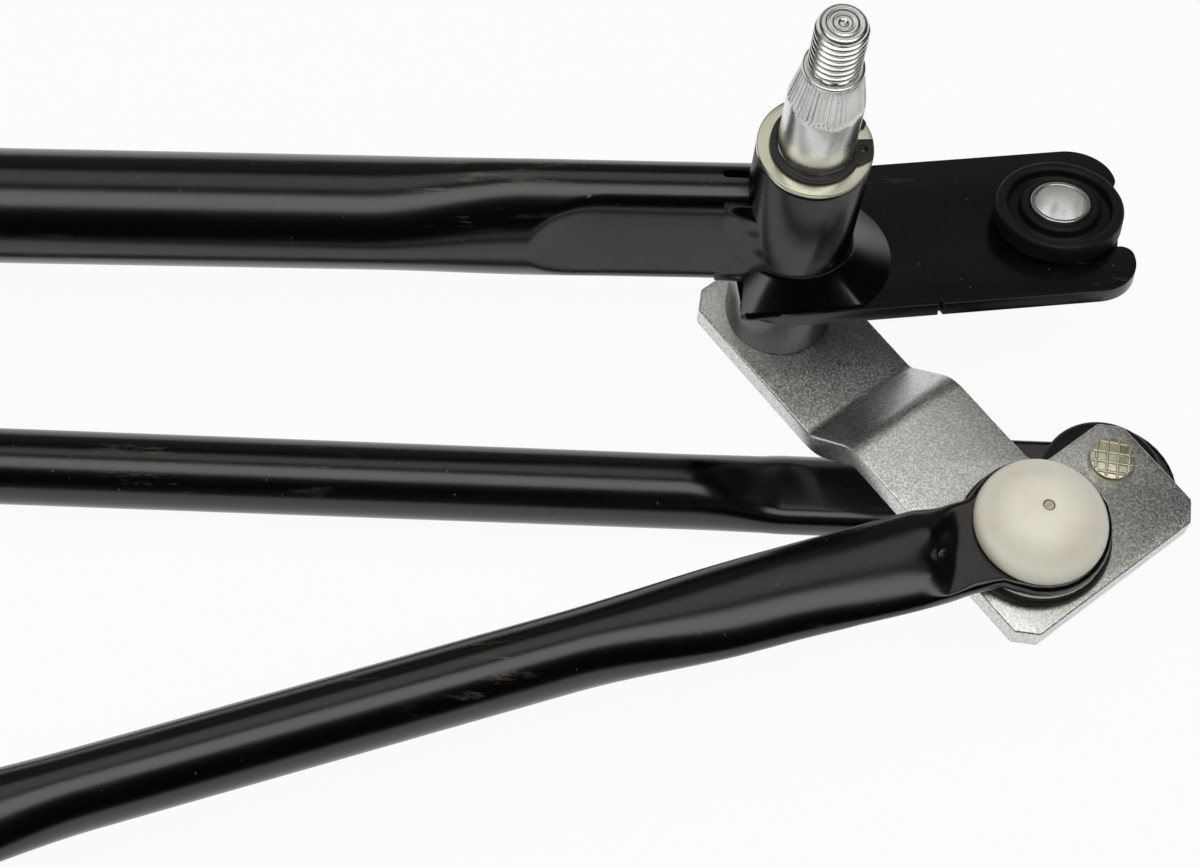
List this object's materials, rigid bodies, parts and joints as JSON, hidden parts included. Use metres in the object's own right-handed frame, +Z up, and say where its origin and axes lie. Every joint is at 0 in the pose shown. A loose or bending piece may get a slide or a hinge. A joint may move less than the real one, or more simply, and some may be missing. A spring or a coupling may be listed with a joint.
{
  "type": "wiper linkage",
  "caption": "Windscreen wiper linkage: tube frame with threaded pivot spindles, stepped levers, a tie link and a drive link on ball joints, and rubber-bushed mounting brackets.",
  "frame": {"origin": "middle of the bore of the right mounting sleeve", "axes": "+Z up the pivot shafts, +X along the linkage from the left pivot to the right pivot, +Y from the levers towards the mounting brackets"},
  "size_m": [0.7887, 0.1929, 0.1145],
  "materials": {
    "black_painted_steel": "satin black electrophoretic coat",
    "zinc_plated_steel": "bright zinc plate, slightly grainy",
    "black_rubber": "matte",
    "white_nylon": "satin moulded nylon",
    "sintered_bronze": "matte, oil filled",
    "phosphated_spring_steel": "dark phosphate"
  },
  "bodies": {
    "frame": {"frame_tube": "black_painted_steel", "motor_bracket": "black_painted_steel", "right_pivot_housing": "black_painted_steel", "left_pivot_housing": "black_painted_steel", "right_mount_bracket": "black_painted_steel", "left_mount_bracket": "black_painted_steel", "right_grommet": "black_rubber", "left_grommet": "black_rubber", "right_grommet_sleeve": "zinc_plated_steel", "left_grommet_sleeve": "zinc_plated_steel", "right_upper_bush": "sintered_bronze", "right_lower_bush": "sintered_bronze", "left_upper_bush": "sintered_bronze", "left_lower_bush": "sintered_bronze"},
    "right_pivot": {"right_spindle": "zinc_plated_steel", "right_washer": "zinc_plated_steel", "right_circlip": "phosphated_spring_steel", "right_lever": "zinc_plated_steel", "drive_ball_stud": "zinc_plated_steel", "right_tie_ball_stud": "zinc_plated_steel"},
    "left_pivot": {"left_spindle": "zinc_plated_steel", "left_washer": "zinc_plated_steel", "left_circlip": "phosphated_spring_steel", "left_lever": "zinc_plated_steel", "left_tie_ball_stud": "zinc_plated_steel"},
    "tie_link": {"tie_link_tube": "black_painted_steel", "tie_right_socket": "white_nylon", "tie_left_socket": "white_nylon", "tie_right_seal": "black_rubber", "tie_left_seal": "black_rubber"},
    "drive_link": {"drive_link_tube": "black_painted_steel", "drive_lever_socket": "white_nylon", "drive_motor_socket": "white_nylon", "drive_lever_seal": "black_rubber", "drive_motor_seal": "black_rubber"}
  },
  "joints": [
    {"name": "right_pivot_turn", "type": "hinge", "parent": "frame", "child": "right_pivot", "pos_m": [-0.05448, -0.01046, 0.01039], "axis": [0, 0, 1], "range_deg": [-80, 2]},
    {"name": "left_pivot_turn", "type": "hinge", "parent": "frame", "child": "left_pivot", "pos_m": [-0.69448, -0.01046, 0.01039], "axis": [0, 0, 1], "range_deg": [-80, 2]},
    {"name": "tie_ball_turn", "type": "hinge", "parent": "right_pivot", "child": "tie_link", "pos_m": [0.00968, -0.04849, -0.02001], "axis": [0, 0, 1], "range_deg": [-2, 80]},
    {"name": "drive_ball_turn", "type": "hinge", "parent": "right_pivot", "child": "drive_link", "pos_m": [-0.00706, -0.06613, -0.00211], "axis": [0, 0, 1], "range_deg": [-20, 95]}
  ],
  "couplings": [
    {"joint": "left_pivot_turn", "follows": "right_pivot_turn", "ratio": 1},
    {"joint": "tie_ball_turn", "follows": "right_pivot_turn", "ratio": -1}
  ]
}
